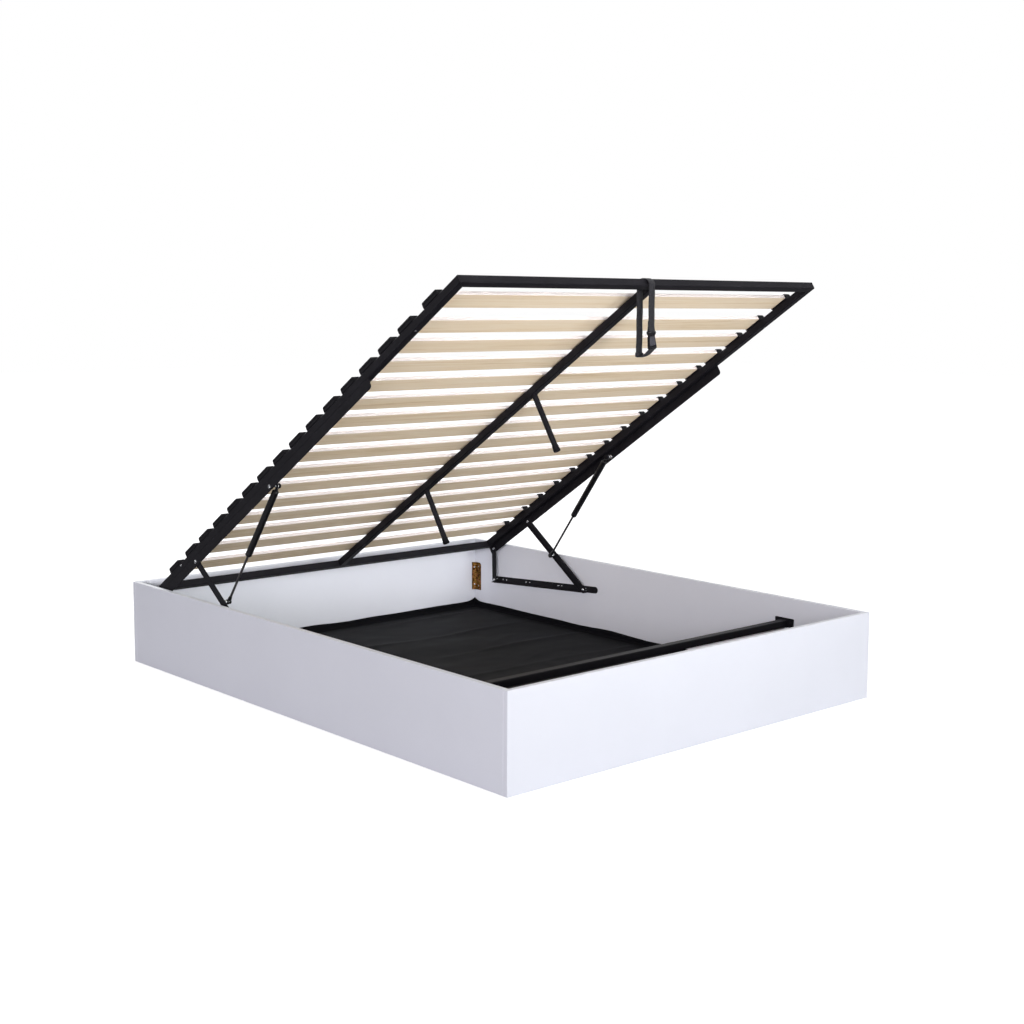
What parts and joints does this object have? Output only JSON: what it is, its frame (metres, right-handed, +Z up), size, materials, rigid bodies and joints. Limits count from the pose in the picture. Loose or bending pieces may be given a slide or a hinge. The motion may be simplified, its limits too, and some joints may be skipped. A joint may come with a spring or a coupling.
{
  "type": "storage bed",
  "caption": "White lift-up storage bed: four boards round a slat platform that rises on links and gas struts over a lined storage space.",
  "frame": {"origin": "on the floor under the middle of the box of boards", "axes": "+X is the right side seen from the foot end, +Y points to the head end, +Z is up"},
  "size_m": [1.57, 2.06, 1.3751],
  "materials": {
    "white_board": "white satin lacquer on board",
    "black_steel": "black powder coat",
    "zinc_steel": "bright zinc plate",
    "yellow_zinc": "yellow zinc plate on steel",
    "birch": "clear birch veneer",
    "strut_black": "gloss black paint",
    "strut_rod": "dark polished rod",
    "liner_fabric": "black nonwoven fabric",
    "webbing": "charcoal woven webbing",
    "black_plastic": "moulded black plastic"
  },
  "bodies": {
    "root": {"head_board": "white_board", "foot_board": "white_board", "side_board_left": "white_board", "side_board_right": "white_board", "corner_plate_head_left": "yellow_zinc", "corner_plate_head_right": "yellow_zinc", "corner_plate_foot_left": "yellow_zinc", "corner_plate_foot_right": "yellow_zinc", "cross_bar": "black_steel", "hinge_base_left": "black_steel", "hinge_base_right": "black_steel", "floor_liner": "liner_fabric", "rear_pivot_left": "zinc_steel", "rear_pivot_right": "zinc_steel", "front_pivot_left": "zinc_steel", "front_pivot_right": "zinc_steel"},
    "front_link_right": {"front_link_right": "black_steel", "front_rivet_right": "zinc_steel"},
    "front_link_left": {"front_link_left": "black_steel", "front_rivet_left": "zinc_steel"},
    "platform": {"head_rail": "black_steel", "foot_rail": "black_steel", "side_rail_left": "black_steel", "side_rail_right": "black_steel", "centre_rail": "black_steel", "lift_arm_left": "black_steel", "lift_arm_right": "black_steel", "centre_leg_head": "black_steel", "centre_leg_foot": "black_steel", "slat_01": "birch", "slat_02": "birch", "slat_03": "birch", "slat_04": "birch", "slat_05": "birch", "slat_06": "birch", "slat_07": "birch", "slat_08": "birch", "slat_09": "birch", "slat_10": "birch", "slat_11": "birch", "slat_12": "birch", "slat_13": "birch", "slat_14": "birch", "slat_15": "birch", "slat_16": "birch", "upper_ball_stud_left": "zinc_steel", "upper_ball_stud_right": "zinc_steel"},
    "rear_link_left": {"rear_link_left": "black_steel", "rear_rivet_left": "zinc_steel"},
    "rear_link_right": {"rear_link_right": "black_steel", "rear_rivet_right": "zinc_steel"},
    "strut_cylinder_left": {"strut_cylinder_left": "strut_black"},
    "strut_cylinder_right": {"strut_cylinder_right": "strut_black"},
    "strut_rod_left": {"strut_rod_left": "strut_rod", "lower_ball_stud_left": "zinc_steel"},
    "strut_rod_right": {"strut_rod_right": "strut_rod", "lower_ball_stud_right": "zinc_steel"},
    "strap": {"pull_strap": "webbing", "buckle_body": "black_plastic", "buckle_tongue": "black_plastic"}
  },
  "joints": [
    {"name": "lift", "type": "hinge", "parent": "root", "child": "front_link_right", "pos_m": [0.7447, 0.315, 0.174], "axis": [-1, 0, 0], "range_deg": [0, 31.82]},
    {"name": "front_link_left_swing", "type": "hinge", "parent": "root", "child": "front_link_left", "pos_m": [-0.7447, 0.315, 0.174], "axis": [-1, 0, 0], "range_deg": [0, 31.82]},
    {"name": "platform_tilt", "type": "hinge", "parent": "front_link_right", "child": "platform", "pos_m": [0.7447, 0.64649, 0.40791], "axis": [-1, 0, 0], "range_deg": [-64.63, 0]},
    {"name": "rear_link_left_swing", "type": "hinge", "parent": "platform", "child": "rear_link_left", "pos_m": [-0.7447, 0.85999, 0.27032], "axis": [-1, 0, 0], "range_deg": [0, 94.13]},
    {"name": "rear_link_right_swing", "type": "hinge", "parent": "platform", "child": "rear_link_right", "pos_m": [0.7447, 0.85999, 0.27032], "axis": [-1, 0, 0], "range_deg": [0, 94.13]},
    {"name": "strut_left_swing", "type": "hinge", "parent": "platform", "child": "strut_cylinder_left", "pos_m": [-0.722, 0.16634, 0.7114], "axis": [-1, 0, 0], "range_deg": [-19.21, 0]},
    {"name": "strut_right_swing", "type": "hinge", "parent": "platform", "child": "strut_cylinder_right", "pos_m": [0.722, 0.16634, 0.7114], "axis": [-1, 0, 0], "range_deg": [-19.21, 0]},
    {"name": "strut_left_stroke", "type": "slide", "parent": "strut_cylinder_left", "child": "strut_rod_left", "axis": [0, -0.6006, 0.7995], "range_m": [0, 0.1584], "stiffness_N_per_m": 1266, "springref_m": -0.553},
    {"name": "strut_right_stroke", "type": "slide", "parent": "strut_cylinder_right", "child": "strut_rod_right", "axis": [0, -0.6006, 0.7995], "range_m": [0, 0.1584], "stiffness_N_per_m": 1266, "springref_m": -0.553},
    {"name": "strap_swing", "type": "hinge", "parent": "platform", "child": "strap", "pos_m": [-0.03, -0.77136, 1.35437], "axis": [1, 0, 0], "range_deg": [-33, 20]}
  ],
  "couplings": [
    {"joint": "front_link_left_swing", "follows": "lift", "ratio": 1},
    {"joint": "platform_tilt", "follows": "lift", "ratio": -2.0309},
    {"joint": "rear_link_left_swing", "follows": "lift", "ratio": 2.9581},
    {"joint": "rear_link_right_swing", "follows": "lift", "ratio": 2.9581},
    {"joint": "strut_left_swing", "follows": "lift", "ratio": -0.60355},
    {"joint": "strut_right_swing", "follows": "lift", "ratio": -0.60355},
    {"joint": "strut_left_stroke", "follows": "lift", "m_per_rad": 0.28511},
    {"joint": "strut_right_stroke", "follows": "lift", "m_per_rad": 0.28511}
  ]
}
